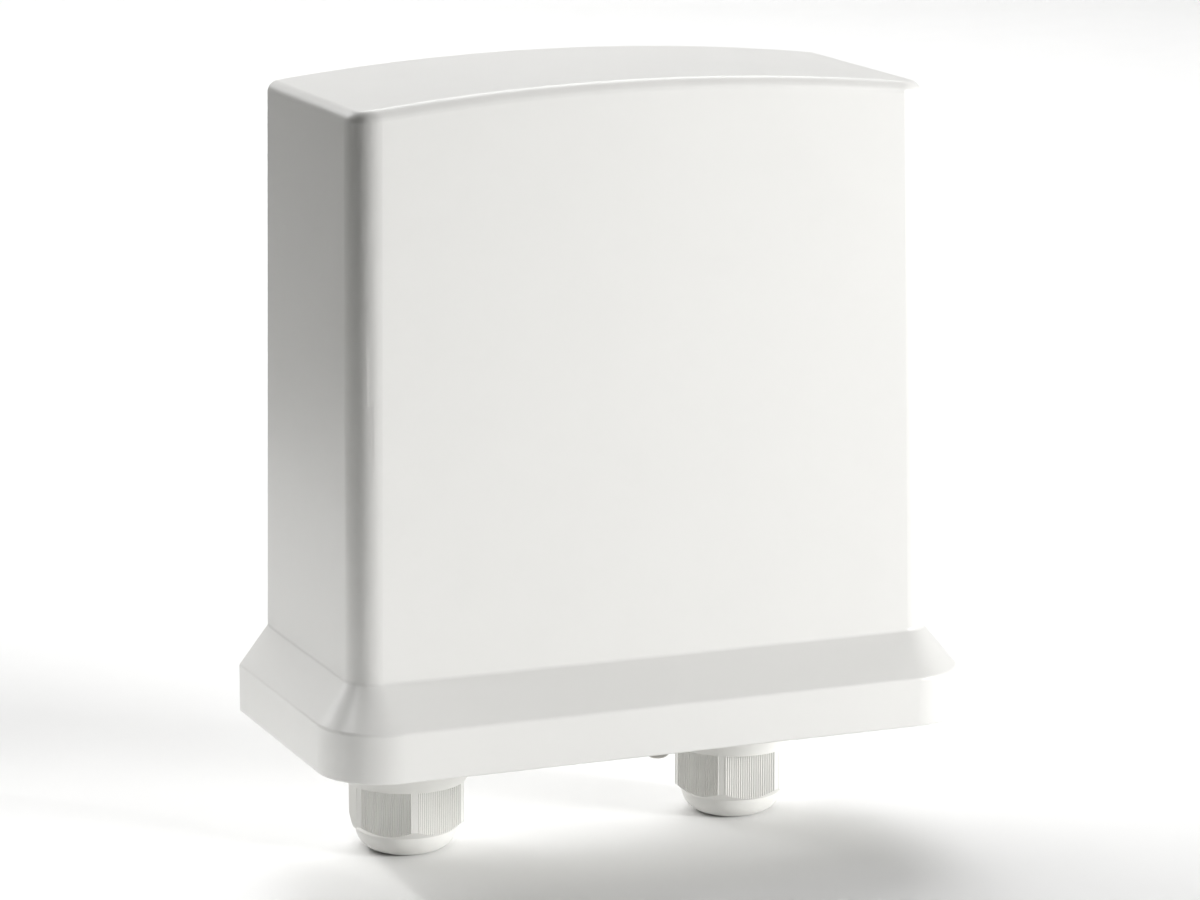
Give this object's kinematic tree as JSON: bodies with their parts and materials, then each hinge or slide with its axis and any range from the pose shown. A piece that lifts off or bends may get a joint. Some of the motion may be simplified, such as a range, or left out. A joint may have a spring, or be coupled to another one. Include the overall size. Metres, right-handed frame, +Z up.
{
  "type": "outdoor mains adapter box",
  "caption": "White outdoor wall box with a hood-shaped cover, flared skirt and cable glands underneath, holding a toroidal mains transformer and a terminal board.",
  "frame": {"origin": "centre of the four wall screw holes, on the wall plane", "axes": "+X to the right seen from the front, +Y into the wall, +Z up"},
  "size_m": [0.165, 0.0779, 0.1954],
  "materials": {
    "cover_plastic": "satin moulded, off-white",
    "housing_plastic": "moulded, off-white",
    "gland_nylon": "moulded nylon, white",
    "seal_rubber": "matte",
    "screw_seal": "natural nylon",
    "stainless_screw": "polished stainless steel",
    "brass": "turned",
    "galvanised_steel": "zinc coated",
    "zinc_screw": "zinc plated",
    "winding_tape": "yellow polyester tape",
    "core_steel": "wound silicon steel strip",
    "board_laminate": "glass-epoxy laminate",
    "terminal_green": "polyamide",
    "tinned_metal": "tinned",
    "fuse_glass": "clear",
    "clear_cover": "clear polycarbonate",
    "varistor_blue": "epoxy dipped",
    "lead_insulation": "silicone insulation"
  },
  "bodies": {
    "housing": {"rear_housing": "housing_plastic", "cover_gasket": "seal_rubber", "gland_body_left": "gland_nylon", "gland_body_right": "gland_nylon", "gland_washer_left": "seal_rubber", "gland_washer_right": "seal_rubber", "gland_locknut_left": "gland_nylon", "gland_locknut_right": "gland_nylon", "chassis_plate": "galvanised_steel", "chassis_screws": "zinc_screw", "transformer_core": "core_steel", "transformer_winding": "winding_tape", "transformer_pads": "seal_rubber", "transformer_clamp": "galvanised_steel", "transformer_bolt": "galvanised_steel", "transformer_nut": "galvanised_steel", "terminal_board": "board_laminate", "board_standoffs": "brass", "board_screws": "zinc_screw", "mains_terminal_block": "terminal_green", "output_terminal_block": "terminal_green", "mains_terminal_screws": "zinc_screw", "output_terminal_screws": "zinc_screw", "fuse_clips": "tinned_metal", "surge_varistor": "varistor_blue", "primary_leads": "lead_insulation", "secondary_leads": "lead_insulation", "earth_stud": "brass", "earth_nut": "brass"},
    "cover": {"cover": "cover_plastic", "cover_insert": "brass"},
    "cover_screw_seal": {"cover_screw_seal": "screw_seal"},
    "cover_screw": {"cover_screw": "stainless_screw"},
    "gland_seal_left": {"gland_seal_left": "seal_rubber"},
    "gland_nut_left": {"gland_nut_left": "gland_nylon"},
    "gland_seal_right": {"gland_seal_right": "seal_rubber"},
    "gland_nut_right": {"gland_nut_right": "gland_nylon"},
    "fuse_carrier": {"fuse_cover": "clear_cover", "fuse_tube": "fuse_glass", "fuse_caps": "tinned_metal"}
  },
  "joints": [
    {"name": "cover_slide", "type": "slide", "parent": "housing", "child": "cover", "axis": [0, -1, 0], "range_m": [0, 0.085]},
    {"name": "cover_screw_travel", "type": "slide", "parent": "cover", "child": "cover_screw_seal", "axis": [0, 0, -1], "range_m": [0, 0.006]},
    {"name": "cover_screw_turn", "type": "hinge", "parent": "cover_screw_seal", "child": "cover_screw", "pos_m": [0, -0.0715, -0.086], "axis": [0, 0, -1], "range_deg": [0, 4320]},
    {"name": "gland_travel_left", "type": "slide", "parent": "housing", "child": "gland_seal_left", "axis": [0, 0, -1], "range_m": [-0.00112, 0.006]},
    {"name": "gland_turn_left", "type": "hinge", "parent": "gland_seal_left", "child": "gland_nut_left", "pos_m": [-0.044, -0.0156, -0.106], "axis": [0, 0, -1], "range_deg": [-270, 1440]},
    {"name": "gland_travel_right", "type": "slide", "parent": "housing", "child": "gland_seal_right", "axis": [0, 0, -1], "range_m": [-0.00112, 0.006]},
    {"name": "gland_turn_right", "type": "hinge", "parent": "gland_seal_right", "child": "gland_nut_right", "pos_m": [0.044, -0.0156, -0.106], "axis": [0, 0, -1], "range_deg": [-270, 1440]},
    {"name": "fuse_pull", "type": "slide", "parent": "housing", "child": "fuse_carrier", "axis": [0, -1, 0], "range_m": [0, 0.02]}
  ],
  "couplings": [
    {"joint": "cover_screw_turn", "follows": "cover_screw_travel", "rad_per_m": 12566},
    {"joint": "gland_turn_left", "follows": "gland_travel_left", "rad_per_m": 4188.8},
    {"joint": "gland_turn_right", "follows": "gland_travel_right", "rad_per_m": 4188.8}
  ]
}
